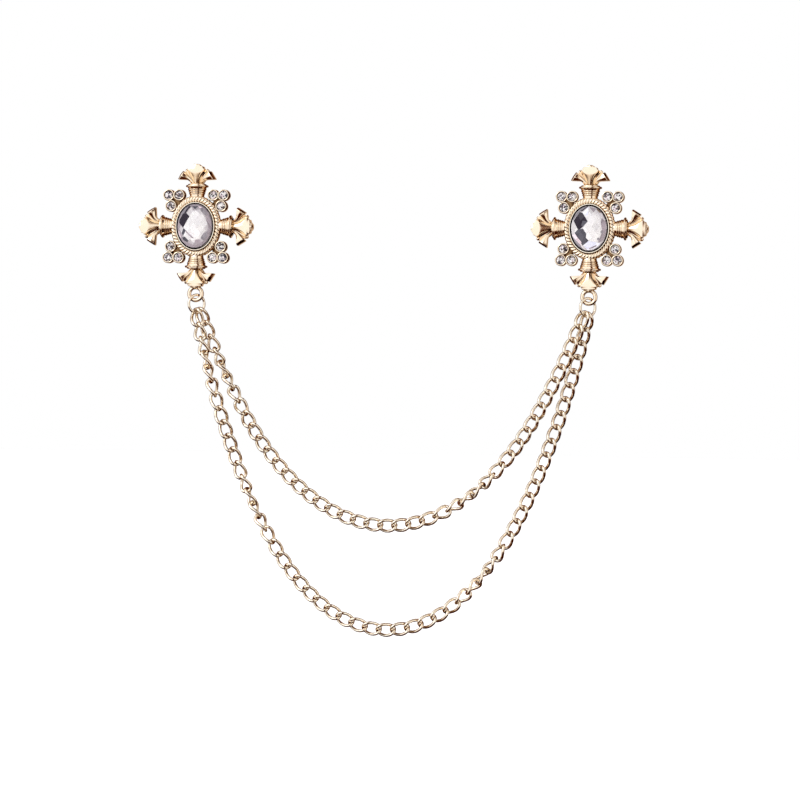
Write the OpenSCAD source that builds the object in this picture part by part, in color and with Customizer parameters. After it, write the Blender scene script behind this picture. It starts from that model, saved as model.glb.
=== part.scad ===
// Lapel chain: two cross brooches with oval stones, joined by two hanging curb chains.
// Millimetres, +Z up, the front faces -Y. The origin is the middle of the left brooch's pin stem.

/* [Brooch] */
// Distance between the middles of the two brooches
brooch_spacing = 92; // [88:0.5:96]
// Width of the oval that the rope border closes
oval_w = 11.6; // [11.2:0.1:12]
// Height of the oval that the rope border closes
oval_h = 14.1; // [13.7:0.1:14.6]
// Reach of the upper and lower arms past the oval
reach_up = 7.45; // [7:0.05:7.9]
// Reach of the side arms past the oval
reach_side = 7.7; // [7.3:0.05:8.1]
// Thickness of the cast back plate
plate_t = 1; // [0.8:0.05:1.3]
// Width of the rope border
rope_w = 1.4; // [1.2:0.05:1.5]
// Height of the rope's crest over the back
rope_h = 2.5; // [2.2:0.05:2.8]
// Strands that show round the rope
rope_strands = 48; // [30:1:56]

/* [Arms] */
// Length of the bell collar on each arm
collar_len = 2.8; // [2.5:0.05:3.1]
// Width of the collar's neck
neck_w = 3.4; // [3:0.05:3.8]
// Width of the collar at its rolled rim
rim_w = 5.3; // [4.9:0.05:5.7]
// Thickness of the collar's rolled rim
rim_t = 0.5; // [0.4:0.02:0.7]
// Width of the collar's mouth past the rim
mouth_w = 4.3; // [4:0.05:4.6]
// Bands round the neck
neck_bands = 3; // [1:1:4]
// Height of the collar's axis over the back
collar_axis_h = 0.8; // [0.6:0.05:1]
// Width across the tips of the palmette's side leaves
palm_w = 8.8; // [8.2:0.1:9.4]
// Height of the leaves' crests over the back
leaf_h = 3; // [2.6:0.05:3.4]
// Height of the low leaves between them
low_leaf_h = 1.7; // [1.4:0.05:2]

/* [Centre stone] */
// Width of the oval stone
stone_w = 8.3; // [7.9:0.1:8.5]
// Height of the oval stone
stone_h = 10.3; // [9.8:0.1:10.6]
// Rise of the stone's table over the back of the casting
stone_top = 4.6; // [4:0.1:5.2]
// Wall of the bezel round the stone
bezel_t = 0.38; // [0.3:0.01:0.42]
// Height of the bezel's lip over the back
bezel_h = 2.9; // [2.6:0.05:3.2]

/* [Small stones] */
// Diameter of a small round stone
gem_d = 1.9; // [1.7:0.05:2]
// Height of a small stone
gem_h = 1.5; // [1.2:0.05:1.8]
// Wall of the cup round a small stone
cup_t = 0.3; // [0.25:0.01:0.35]
// Height of a cup's lip over the back
cup_h = 2.2; // [1.9:0.05:2.5]
// Sideways place of the corner cup past the oval's side
corner_out = 0.7; // [0.5:0.05:0.9]
// Upward place of the corner cup past the oval's top
corner_rise = 0.2; // [0.05:0.05:0.4]
// Step from the corner cup to the cup towards the upright arm
step_in = 2.45; // [2.35:0.05:2.6]
// Step from the corner cup down to the cup towards the side arm
step_down = 2.55; // [2.4:0.05:2.7]
// Inward shift of the cup towards the side arm
step_shift = 0.55; // [0.3:0.05:0.7]

/* [Eye and jump ring] */
// Diameter of the eye's hole
eye_hole_d = 2.06; // [2.02:0.02:2.3]
// Thickness of the eye's round bar
eye_bar = 0.94; // [0.84:0.02:0.96]
// Overlap of the eye with the tip of the lower arm
eye_sink = 0.83; // [0.5:0.01:1]
// Height of the eye's middle plane over the back
eye_mid_h = 1.1; // [0.9:0.05:1.4]
// Outer diameter of the jump ring
ring_d = 4.8; // [4.6:0.02:5]
// Thickness of the jump ring's wire
ring_wire = 0.6; // [0.5:0.02:0.64]
// Turn of the jump ring out of the eye's plane
ring_turn = 44; // [40:1:60]
// Shift of the hanging ring towards the pull of the chains
ring_swing = 0.3; // [0.1:0.05:0.35]
// Rise of the ring from the bottom of the hole, where the eye's sides hold it
ring_rise = 0.48; // [0.4:0.02:0.6]

/* [Chains] */
// Distance from one link to the next
link_pitch = 3.34; // [3.25:0.01:3.5]
// Outer width of a link
link_w = 3.2; // [2.9:0.02:3.3]
// Thickness of the link wire
link_wire = 0.6; // [0.54:0.01:0.63]
// Play between two linked links
link_play = 0.28; // [0.26:0.01:0.34]
// How much closer together the links of the inner chain sit
inner_slack = 0.04; // [0:0.01:0.06]
// Links in the inner chain
inner_links = 43; // [41:1:45]
// Links in the outer chain
outer_links = 55; // [53:1:57]
// Links in which a chain turns half round
turn_links = 7; // [7:1:8]

/* [Pin] */
// Length of the pin stem
pin_len = 19; // [16:0.5:22]
// Thickness of the pin stem
pin_d = 0.8; // [0.7:0.05:1]
// Distance of the stem's middle behind the back plate
pin_back = 2.6; // [2.4:0.05:3]
// Width of the bar that carries the pin
bar_w = 2.4; // [2:0.1:2.8]
// Thickness of the bar
bar_t = 0.6; // [0.5:0.05:0.8]
// Length of the hinge block and of the catch along the stem
catch_len = 1.8; // [1.4:0.1:2.2]

/* [Fits] */
// Gap between a stone and its setting, and between the pin bar and the plate
fit_gap = 0.05; // [0.04:0.01:0.08]
// Gap between the two chains where they hang side by side on a ring
hook_gap = 0.77; // [0.7:0.01:0.85]
// Gap between a ring and the link that hangs on it
seat_gap = 0.05; // [0.04:0.01:0.1]

/* [Hidden] */
SIDES = ["left", "right"];
CORNERS = [[-1, 1], [1, 1], [1, -1], [-1, -1]];
GEM_NAMES = ["01", "02", "03", "04", "05", "06", "07", "08", "09", "10", "11", "12"];

gold = [0.86, 0.72, 0.5];
dark_gold = [0.72, 0.58, 0.38];
clear_stone = [0.86, 0.86, 0.9];

// The oval and what sits in it
rope_mid = [(oval_w - rope_w) / 2, (oval_h - rope_w) / 2];
bezel_out = [stone_w / 2 + fit_gap + bezel_t, stone_h / 2 + fit_gap + bezel_t];
strand_d = rope_w * 0.44;
strand_lean = 48;
strand_len = (rope_w - strand_d * cos(strand_lean)) / sin(strand_lean);
core_top = rope_h - strand_d * 0.62;

// Cup middles in one corner: the corner cup, the one towards the upright arm, the one towards the side arm
cup_r = gem_d / 2 + fit_gap + cup_t;
corner_x = oval_w / 2 + corner_out;
corner_y = oval_h / 2 + corner_rise;
CUPS = [
    [corner_x, corner_y],
    [corner_x - step_in, corner_y],
    [corner_x - step_shift, corner_y - step_down]
];
web_root = [oval_w * 0.3, oval_h * 0.3];

// Depth to which the walls that stand on the plate reach into it
root = plate_t * 0.5;

// Sections of the bell collar as shares of its length: end of the neck, middle of the rim, floor of its mouth
neck_share = 0.34;
rim_share = 0.82;
floor_share = 0.84;
// How late the bell flares; 1 is a plain cone
bell_curve = 1.4;

// Leaf sections, from the collar to the tip.
// Columns: place along the palmette, place across it and half width as shares of its length and half width,
// lean of the section in degrees, crest and edge heights as shares of the leaf height.
LOBE = [
    [0.02, 0, 0.09, 0, 0.62, 0.55],
    [0.35, 0, 0.17, 0, 0.84, 0.78],
    [0.64, 0, 0.35, 0, 1, 0.94],
    [0.74, 0, 0.47, 0, 0.88, 0.8],
    [0.86, 0, 0.34, 0, 0.74, 0.66],
    [1, 0, 0.1, 0, 0.56, 0.5]
];
SIDE_LEAF = [
    [0.03, 0.22, 0.08, 15, 0.64, 0.56],
    [0.24, 0.41, 0.09, 45, 0.8, 0.72],
    [0.34, 0.64, 0.165, 53, 0.94, 0.84],
    [0.44, 0.87, 0.25, 58, 0.92, 0.8]
];
// Outline of a low leaf, as shares of the palmette's length and half width
LOW_LEAF = [[0.02, 0.04], [0.02, 0.24], [0.3, 0.46], [0.5, 0.62], [0.66, 0.66], [0.72, 0.5], [0.62, 0.3], [0.3, 0.1]];
// Half outline of the plate under the palmette, with the same columns
UNDER_PLATE = [[-0.2, 0.3], [0.02, 0.34], [0.26, 0.5], [0.4, 0.5], [0.62, 0.4], [0.74, 0.3]];
leaf_foot = 0.25;

// The eye and the ring that hangs in it
eye_mid_r = (eye_hole_d + eye_bar) / 2;
eye_y = -(oval_h / 2 + reach_up + eye_mid_r + eye_bar / 2 - eye_sink);
ring_r = (ring_d - ring_wire) / 2;
ring_hang = eye_mid_r - eye_bar / 2 - ring_wire / 2 + ring_r - ring_rise;
eye_at = [0, -pin_back - eye_mid_h, eye_y];
ring_way = [cos(ring_turn), sin(ring_turn), 0];
ring_at = eye_at + ring_swing * ring_way - [0, 0, ring_hang];

// Link wire: a ring bent into a saddle, so that each end lies across the next one
wire_sides = 5;
link_rings = 12;
link_mid_w = link_w - link_wire;
link_len = link_pitch + link_wire + link_play;
inner_pitch = link_pitch - inner_slack;
saddle = link_mid_w / 4;
wire_r = link_wire / 2 * sqrt(PI / (wire_sides / 2 * sin(360 / wire_sides)));

// Where each chain hangs on the ring's bottom, and how it bows clear of the other one
pull_lean = 12;
hook_step = asin((link_wire + hook_gap) / 2 / ring_r);
bow = 1.2;
function hook(lean, pitch) =
    ring_at + (ring_r - seat_gap - (link_len - pitch) / 2) * (sin(lean) * ring_way - [0, 0, cos(lean)]);
inner_hook = hook(pull_lean + hook_step, inner_pitch);
outer_hook = hook(pull_lean - hook_step, link_pitch);
bow_mid = (inner_hook[1] + outer_hook[1]) / 2 - eye_at[1];

// Depth of a chain behind the eye along its way. Columns: links from the left end, depth.
// A chain leaves the ring, keeps to its own side as far as bow_end and is back in the middle at bow_none.
bow_full = 1.3;
bow_end = 6;
bow_none = 10;
function bow_table(links, start, side) = [
    [0, start], [bow_full, side], [bow_end, side], [bow_none, 0],
    [links - bow_none, 0], [links - bow_end, -side], [links - bow_full, -side], [links, -start]
];
INNER_BOW = bow_table(inner_links, inner_hook[1] - eye_at[1], bow_mid + bow);
OUTER_BOW = bow_table(outer_links, outer_hook[1] - eye_at[1], bow_mid - bow);

// Where each chain turns half round, as shares of its length
INNER_TURNS = [0.116, 0.647];
OUTER_TURNS = [0.075, 0.261, 0.643];

function sinh(x) = (exp(x) - exp(-x)) / 2;
function asinh(x) = ln(x + sqrt(x * x + 1));

// The size of a hanging chain's curve, found by halving the range that holds it
function hang_size(half_span, half_len, low = 1, high = 500, steps = 50) =
    steps == 0 ? (low + high) / 2
    : (low + high) / 2 * sinh(half_span * 2 / (low + high)) > half_len
        ? hang_size(half_span, half_len, (low + high) / 2, high, steps - 1)
        : hang_size(half_span, half_len, low, (low + high) / 2, steps - 1);

// A soft step from 0 to 1
function ease(x) = let (c = min(max(x, 0), 1)) c * c * (3 - 2 * c);

// Softly joined rows of a table, read at one place
function along(table, place, row = 0) =
    row >= len(table) - 2 || place < table[row + 1][0]
        ? table[row][1] + (table[row + 1][1] - table[row][1])
            * ease((place - table[row][0]) / (table[row + 1][0] - table[row][0]))
        : along(table, place, row + 1);

// How far a chain has turned at one link
function turned(turns, links, place) = -180 * sum_of([
    for (share = turns) min(max((place - share * links) / turn_links + 0.5, 0), 1)
]);
function sum_of(list, index = 0) = index >= len(list) ? 0 : list[index] + sum_of(list, index + 1);

// A point of the hanging curve, at a number of links from the left end
function chain_point(place, links, pitch, start, size, bow_rows) =
    let (
        half = links * pitch / 2,
        way = place * pitch - half
    )
    [
        brooch_spacing / 2 + size * asinh(way / size),
        eye_at[1] + along(bow_rows, place),
        start[2] + sqrt(size * size + way * way) - sqrt(size * size + half * half)
    ];

function unit(v) = v / norm(v);
function link_bend(t) = [sin(t) * link_mid_w / 2, -saddle * sin(2 * t), cos(t) * link_len / 2];
function link_flow(t) = unit([cos(t) * link_mid_w, -4 * saddle * cos(2 * t), -sin(t) * link_len]);
function square_to(v, way) = unit(v - (v * way) * way);

// The wire's skin round one link, before it is placed
link_skin = [
    for (i = [0 : link_rings - 1])
        let (
            t = i * 360 / link_rings,
            flow = link_flow(t),
            out = square_to([sin(t), 0, cos(t)], flow),
            side = cross(flow, out)
        )
        for (j = [0 : wire_sides - 1])
            link_bend(t) + wire_r * (cos(j * 360 / wire_sides) * out + sin(j * 360 / wire_sides) * side)
];

// Triangles of a skin made of rings of points, closed into a loop
function loop_faces(rings, sides) = [
    for (i = [0 : rings - 1]) for (j = [0 : sides - 1])
        let (
            a = i * sides + j,
            b = i * sides + (j + 1) % sides,
            c = (i + 1) % rings * sides + (j + 1) % sides,
            d = (i + 1) % rings * sides + j
        )
        each [[a, c, b], [a, d, c]]
];

// Triangles of a skin made of rings of points, with a flat cap at each end
function loft_faces(rings, sides) = concat(
    [
        for (i = [0 : rings - 2]) for (j = [0 : sides - 1])
            let (
                a = i * sides + j,
                b = i * sides + (j + 1) % sides,
                c = (i + 1) * sides + (j + 1) % sides,
                d = (i + 1) * sides + j
            )
            each [[a, c, b], [a, d, c]]
    ],
    [[for (j = [0 : sides - 1]) j]],
    [[for (j = [sides - 1 : -1 : 0]) (rings - 1) * sides + j]]
);

// One link between two points of the chain's way
module link(from, to, turn) {
    up = unit(from - to);
    back = square_to([0, 1, 0], up);
    across = cross(back, up);
    x_way = cos(turn) * across + sin(turn) * back;
    y_way = cos(turn) * back - sin(turn) * across;
    middle = (from + to) / 2;
    polyhedron(
        [for (p = link_skin) middle + p[0] * x_way + p[1] * y_way + p[2] * up],
        loop_faces(link_rings, wire_sides)
    );
}

module chain(links, pitch, start, bow_rows, turns) {
    size = hang_size(brooch_spacing / 2 - start[0], links * pitch / 2);
    color(gold)
        for (k = [0 : links - 1])
            link(
                chain_point(k, links, pitch, start, size, bow_rows),
                chain_point(k + 1, links, pitch, start, size, bow_rows),
                turned(turns, links, k + 0.5)
            );
}

module inner_chain() {
    chain(inner_links, inner_pitch, inner_hook, INNER_BOW, INNER_TURNS);
}

module outer_chain() {
    chain(outer_links, link_pitch, outer_hook, OUTER_BOW, OUTER_TURNS);
}

module oval(half) {
    scale([half[0], half[1]]) circle(1, $fn = 72);
}

// Upright wall between two ovals
module oval_wall(outer, inner, bottom, top) {
    translate([0, 0, bottom])
        linear_extrude(top - bottom)
            difference() {
                oval(outer);
                oval(inner);
            }
}

// Rope border on a wall that reaches in to the bezel
module rope() {
    core_half = rope_w * 0.42;
    oval_wall(
        rope_mid + [core_half, core_half],
        bezel_out - [bezel_t / 2, bezel_t / 2],
        root,
        core_top
    );
    for (i = [0 : rope_strands - 1]) {
        t = (i + 0.5) * 360 / rope_strands;
        heading = atan2(cos(t) * rope_mid[1], -sin(t) * rope_mid[0]);
        translate([rope_mid[0] * cos(t), rope_mid[1] * sin(t), rope_h - strand_d / 2])
            rotate([0, 0, heading + strand_lean])
                rotate([0, 90, 0])
                    cylinder(h = strand_len, d = strand_d, center = true, $fn = 24);
    }
}

module bezel() {
    oval_wall(bezel_out, bezel_out - [bezel_t, bezel_t], root, bezel_h);
}

// Bell collar with a rolled rim and a narrower mouth, turned round the arm's axis and cut flat at the back
module collar() {
    band = collar_len * neck_share / neck_bands;
    neck_root = rope_w * 0.6;
    rim_mid = collar_len * rim_share;
    neck_end = collar_len * neck_share;
    bell = [for (i = [0 : 5]) let (f = i / 5) [
        neck_w / 2 + (rim_w / 2 - rim_t / 2 - neck_w / 2) * pow(f, bell_curve),
        neck_end + (rim_mid - neck_end) * f
    ]];
    intersection() {
        translate([0, 0, collar_axis_h])
            rotate([-90, 0, 0])
                union() {
                    rotate_extrude($fn = 48)
                        polygon(concat(
                            [[0, -neck_root], [neck_w / 2, -neck_root]],
                            bell,
                            [
                                [mouth_w / 2, rim_mid + rim_t * 0.4],
                                [mouth_w / 2, collar_len],
                                [mouth_w / 2 - rim_t * 0.6, collar_len],
                                [0, collar_len * floor_share]
                            ]
                        ));
                    for (i = [0 : neck_bands - 1])
                        translate([0, 0, band * (i + 0.25)])
                            cylinder(h = band * 0.5, d = neck_w + rim_t * 0.5, $fn = 48);
                    translate([0, 0, rim_mid])
                        rotate_extrude($fn = 48)
                            translate([rim_w / 2 - rim_t / 2, 0])
                                circle(d = rim_t, $fn = 20);
                }
        translate([-rim_w, -rope_w, 0.02])
            cube([rim_w * 2, collar_len + rope_w * 2, rim_w]);
    }
}

// One leaf of the palmette, lofted through its sections; length is the palmette's own
module leaf(sections, length) {
    points = [
        for (s = sections)
            let (
                middle = [s[1] * palm_w / 2, collar_len + s[0] * length],
                half = s[2] * palm_w / 2,
                way = [cos(s[3]), -sin(s[3])],
                left = middle - half * way,
                right = middle + half * way
            )
            each [
                [left[0], left[1], leaf_foot],
                [left[0], left[1], s[5] * leaf_h],
                [middle[0], middle[1], s[4] * leaf_h],
                [right[0], right[1], s[5] * leaf_h],
                [right[0], right[1], leaf_foot]
            ]
    ];
    polyhedron(points, loft_faces(len(sections), 5));
}

function palm_outline(rows, length, hand) = [
    for (r = rows) [hand * r[1] * palm_w / 2, collar_len + r[0] * length]
];

module arm(reach) {
    length = reach - collar_len;
    half_plate = palm_outline(UNDER_PLATE, length, 1);
    collar();
    linear_extrude(plate_t)
        polygon(concat(
            half_plate,
            [for (i = [len(half_plate) - 1 : -1 : 0]) [-half_plate[i][0], half_plate[i][1]]]
        ));
    for (hand = [-1, 1])
        translate([0, 0, 0.1])
            linear_extrude(low_leaf_h - 0.1)
                polygon(palm_outline(LOW_LEAF, length, hand));
    leaf(LOBE, length);
    leaf(SIDE_LEAF, length);
    mirror([1, 0, 0]) leaf(SIDE_LEAF, length);
}

// Three cups and the web that ties them to the oval, in the corner to the upper right
module cup_corner() {
    difference() {
        union() {
            linear_extrude(plate_t * 0.7)
                polygon([CUPS[1], CUPS[0], CUPS[2], web_root]);
            for (c = CUPS)
                translate([c[0], c[1], 0])
                    cylinder(h = cup_h, r = cup_r, $fn = 40);
        }
        for (c = CUPS)
            translate([c[0], c[1], plate_t])
                cylinder(h = cup_h, r = cup_r - cup_t, $fn = 40);
    }
}

module eye() {
    translate([0, eye_y, eye_mid_h])
        rotate_extrude($fn = 64)
            translate([eye_mid_r, 0])
                circle(d = eye_bar, $fn = 32);
}

module cross_casting() {
    color(gold) {
        linear_extrude(plate_t) oval([oval_w / 2 - rope_w * 0.1, oval_h / 2 - rope_w * 0.1]);
        rope();
        bezel();
        for (hand = [0, 180]) {
            rotate([0, 0, hand]) translate([0, oval_h / 2, 0]) arm(reach_up);
            rotate([0, 0, hand - 90]) translate([0, oval_w / 2, 0]) arm(reach_side);
        }
        for (corner = CORNERS)
            scale([corner[0], corner[1], 1]) cup_corner();
        eye();
    }
}

// Oval stone with a table, two rows of facets and a tapered foot
module centre_stone() {
    sides = 16;
    // Columns: share of the oval, share of the rise from the seat to the table
    rows = [[0.92, 0], [1, 0.42], [0.8, 0.82], [0.42, 1]];
    seat = plate_t + fit_gap;
    color(clear_stone)
        polyhedron(
            [
                for (row = rows) for (j = [0 : sides - 1])
                    [
                        stone_w / 2 * row[0] * cos(j * 360 / sides),
                        stone_h / 2 * row[0] * sin(j * 360 / sides),
                        seat + (stone_top - seat) * row[1]
                    ]
            ],
            loft_faces(len(rows), sides)
        );
}

// Round stone with an eight-sided table and crown, a thin girdle and a pointed foot
module gem() {
    sides = 8;
    // Columns: share of the radius, share of the height
    rows = [[0.1, 0], [1, 0.52], [1, 0.62], [0.56, 1]];
    color(clear_stone)
        polyhedron(
            [
                for (row = rows) for (j = [0 : sides - 1])
                    [
                        gem_d / 2 * row[0] * cos((j + 0.5) * 360 / sides),
                        gem_d / 2 * row[0] * sin((j + 0.5) * 360 / sides),
                        gem_h * row[1]
                    ]
            ],
            loft_faces(len(rows), sides)
        );
}

// Small stones count round the corners, three in each
module placed_gem(number) {
    corner = CORNERS[floor(number / 3)];
    cup = CUPS[number % 3];
    translate([corner[0] * cup[0], corner[1] * cup[1], plate_t + fit_gap])
        gem();
}

// Pin, bar, hinge block and catch in one plain piece behind the plate
module pin() {
    bar_back = -fit_gap - bar_t;
    stem_end = pin_len / 2;
    color(dark_gold) {
        translate([-stem_end, -bar_w / 2, bar_back])
            cube([pin_len, bar_w, bar_t]);
        translate([-stem_end, -bar_w * 0.4, -pin_back - pin_d])
            cube([catch_len, bar_w * 0.8, pin_back + pin_d + bar_back + bar_t * 0.5]);
        translate([stem_end - catch_len, -bar_w * 0.3, -pin_back - pin_d])
            cube([catch_len, bar_w * 0.6, pin_back + pin_d + bar_back + bar_t * 0.5]);
        translate([-stem_end + catch_len * 0.5, 0, -pin_back])
            rotate([0, 90, 0])
                cylinder(h = pin_len - catch_len * 0.5, d = pin_d, $fn = 24);
        translate([stem_end - 0.01, 0, -pin_back])
            rotate([0, 90, 0])
                cylinder(h = pin_d * 1.6, d1 = pin_d, d2 = pin_d * 0.3, $fn = 24);
    }
}

// Ring at its middle, before it is hung
module jump_ring() {
    color(gold)
        rotate([0, 0, ring_turn])
            rotate([90, 0, 0])
                rotate_extrude($fn = 72)
                    translate([ring_r, 0])
                        circle(d = ring_wire, $fn = 28);
}

// A brooch piece, drawn flat with its front up, stood up at its side of the part
module stand(side) {
    translate([side * brooch_spacing, -pin_back, 0])
        rotate([90, 0, 0])
            children();
}

for (side = [0, 1]) {
    stand(side) cross_casting();
    stand(side) centre_stone();
    for (number = [0 : len(GEM_NAMES) - 1])
        stand(side) placed_gem(number);
    stand(side) pin();
}
translate(ring_at) jump_ring();  // left_jump_ring
translate([brooch_spacing - ring_at[0], 2 * eye_at[1] - ring_at[1], ring_at[2]]) jump_ring();  // right_jump_ring
inner_chain();
outer_chain();
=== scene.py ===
"""Looks of a lapel chain: two cross brooches with clear stones, joined by two hanging curb chains.

Every length is in metres in the frame's axes: +X to the right brooch, +Z up, the front faces -Y.
A brooch is drawn flat first: x to the right, y up, height h towards the viewer. It is then stood up.
"""

import math

import bmesh
import bpy
import numpy as np
from mathutils import Euler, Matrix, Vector


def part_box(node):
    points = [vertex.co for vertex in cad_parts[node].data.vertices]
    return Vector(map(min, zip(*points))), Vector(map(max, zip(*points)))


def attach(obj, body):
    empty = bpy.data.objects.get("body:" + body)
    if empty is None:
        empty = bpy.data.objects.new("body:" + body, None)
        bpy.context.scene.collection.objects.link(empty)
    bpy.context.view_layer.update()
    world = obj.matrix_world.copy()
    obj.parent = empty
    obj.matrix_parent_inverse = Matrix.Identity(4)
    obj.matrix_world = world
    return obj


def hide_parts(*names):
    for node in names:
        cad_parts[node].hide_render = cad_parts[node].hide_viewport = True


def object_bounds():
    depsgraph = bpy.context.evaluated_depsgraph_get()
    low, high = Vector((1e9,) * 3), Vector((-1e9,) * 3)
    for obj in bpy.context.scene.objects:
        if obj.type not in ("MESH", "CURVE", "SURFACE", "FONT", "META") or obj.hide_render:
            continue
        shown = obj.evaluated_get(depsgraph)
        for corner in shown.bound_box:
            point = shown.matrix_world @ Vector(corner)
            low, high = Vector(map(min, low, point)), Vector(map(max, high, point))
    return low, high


bl_info = {
    "name": "Lapel chain",
    "version": (1, 0, 0),
    "blender": (4, 5, 0),
    "location": "View3D > Sidebar > Lapel chain",
    "description": "Two cross brooches with clear stones, joined by two hanging curb chains",
    "category": "Add Mesh",
}

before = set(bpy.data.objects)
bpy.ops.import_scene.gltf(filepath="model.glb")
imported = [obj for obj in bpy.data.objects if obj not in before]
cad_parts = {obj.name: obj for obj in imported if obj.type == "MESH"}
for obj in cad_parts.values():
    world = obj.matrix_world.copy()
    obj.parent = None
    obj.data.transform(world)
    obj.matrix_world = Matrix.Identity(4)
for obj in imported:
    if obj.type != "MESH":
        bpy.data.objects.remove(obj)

SIDES = ("left", "right")
CORNERS = ((-1, 1), (1, 1), (1, -1), (-1, -1))
X_WAY, Y_WAY, Z_WAY = np.eye(3)
# Starts of the random draws for the oval stones and for the small stones
OVAL_SEED, GEM_SEED = 40, 7


def mm(value):
    """Millimetres as metres."""
    return value * 0.001


def centre_of(node):
    """Middle of a frame node's box."""
    low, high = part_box(node)
    return (low + high) / 2


def span_of(node, axis):
    """Length of a frame node's box along one axis."""
    low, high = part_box(node)
    return high[axis] - low[axis]


CAD_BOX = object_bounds()
LEFT_STONE = centre_of("left_centre_stone")
RIGHT_STONE = centre_of("right_centre_stone")
LEFT_RING = centre_of("left_jump_ring")
BACK_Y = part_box("left_cross")[1][1]
EYE_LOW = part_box("left_cross")[0][2]


def length(name, about, value):
    """A length property in metres."""
    return bpy.props.FloatProperty(
        name=name, description=about, default=value, min=0, precision=5, unit="LENGTH", subtype="DISTANCE"
    )


def share(name, about, value):
    """A plain number property."""
    return bpy.props.FloatProperty(name=name, description=about, default=value, precision=3)


def count_of(name, about, value, low, high):
    """A whole number property."""
    return bpy.props.IntProperty(name=name, description=about, default=value, min=low, max=high)


def tint(name, about, value):
    """A colour property."""
    return bpy.props.FloatVectorProperty(
        name=name, description=about, default=value, size=3, min=0, max=1, subtype="COLOR"
    )


class LapelCastingSizes(bpy.types.PropertyGroup):
    """Sizes of the cast cross."""

    oval_width: length("Oval width", "Width of the oval that the rope border closes", mm(11.6))
    oval_height: length("Oval height", "Height of the oval that the rope border closes", mm(14.1))
    reach_up: length("Upright reach", "Reach of the upper and lower arms past the oval", mm(7.45))
    reach_side: length("Side reach", "Reach of the side arms past the oval", mm(7.7))
    plate: length("Plate", "Thickness of the cast back plate", mm(1))
    rope_height: length("Rope height", "Height of the rope's crest over the back", mm(2.5))
    rope_strands: count_of("Rope strands", "Strands that show round the rope", 48, 12, 60)
    collar: length("Collar", "Length of the bell collar on each arm", mm(2.8))
    neck_width: length("Neck", "Width of the collar's neck", mm(3.4))
    rim_width: length("Rim", "Width of the collar at its rolled rim", mm(5.3))
    rim: length("Rim thickness", "Thickness of the collar's rolled rim", mm(0.5))
    mouth_width: length("Mouth", "Width of the collar's mouth past the rim", mm(4.3))
    collar_axis: length("Collar axis", "Height of the collar's axis over the back", mm(0.8))
    palm_width: length("Palmette", "Width across the tips of the palmette's side leaves", mm(8.8))
    leaf_height: length("Leaf height", "Height of the leaves' crests over the back", mm(3))
    low_leaf_height: length("Low leaf height", "Height of the low leaves between them", mm(1.7))
    bezel_height: length("Bezel height", "Height of the bezel's lip over the back", mm(2.9))
    bezel_wall: length("Bezel wall", "Wall of the bezel round the stone", mm(0.38))
    cup_height: length("Cup height", "Height of a cup's lip over the back", mm(2.2))
    corner_out: length("Corner cup out", "Sideways place of the corner cup past the oval's side", mm(0.7))
    corner_rise: length("Corner cup rise", "Upward place of the corner cup past the oval's top", mm(0.2))
    step_in: length("Step in", "Step from the corner cup to the cup towards the upright arm", mm(2.45))
    step_down: length("Step down", "Step from the corner cup down to the cup towards the side arm", mm(2.55))
    step_shift: length("Step shift", "Inward shift of the cup towards the side arm", mm(0.55))
    cup_wall: length("Cup wall", "Wall of the cup round a small stone", mm(0.34))
    eye_radius: length("Eye radius", "Radius of the middle line of the eye", mm(1.5))
    eye_bar: length("Eye bar", "Thickness of the eye's round bar", mm(0.94))
    eye_height: length("Eye height", "Height of the eye's middle plane over the back", mm(1.1))


class LapelStoneSizes(bpy.types.PropertyGroup):
    """Sizes of the cut stones, and the reflections painted into their facets' colours."""

    width: length("Stone width", "Width of the oval stone", span_of("left_centre_stone", 0))
    height: length("Stone height", "Height of the oval stone", span_of("left_centre_stone", 2))
    rise: length("Stone rise", "Rise of the oval stone over its seat", span_of("left_centre_stone", 1))
    dome: length("Dome", "Drop of the oval stone's dome from its middle to its edge", mm(1.5))
    facet_width: length("Facet half width", "Half width of a diamond facet", mm(0.84))
    facet_height: length("Facet half height", "Half height of a diamond facet", mm(1.24))
    gem: length("Small stone", "Diameter of a small round stone", mm(1.9))
    gem_rise: length("Small stone rise", "Height of a small stone", mm(1.5))
    gap: length("Gap", "Gap between a stone and its setting", mm(0.05))
    # Painted reflections: each facet colour stands for what the facet mirrors.
    clear: tint("Clear facet", "Colour of a facet that mirrors the light", (0.89, 0.86, 0.82))
    ice: tint("Ice facet", "Bluish white of the facets at the foot", (0.88, 0.88, 1))
    blush: tint("Blush facet", "Pale pink of a facet by the setting", (0.85, 0.7, 0.72))
    lilac: tint("Lilac facet", "Colour of the facets at the edge", (0.37, 0.315, 0.33))
    pewter: tint("Pewter facet", "Colour of a facet that mirrors a light grey", (0.29, 0.265, 0.28))
    bronze: tint("Bronze facet", "Colour of a facet that mirrors its setting", (0.2, 0.14, 0.1))
    smoke: tint("Smoke facet", "Colour of a facet that mirrors a grey", (0.1, 0.095, 0.11))
    night: tint("Night facet", "Colour of a facet that mirrors the dark", (0.028, 0.02, 0.03))


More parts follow.
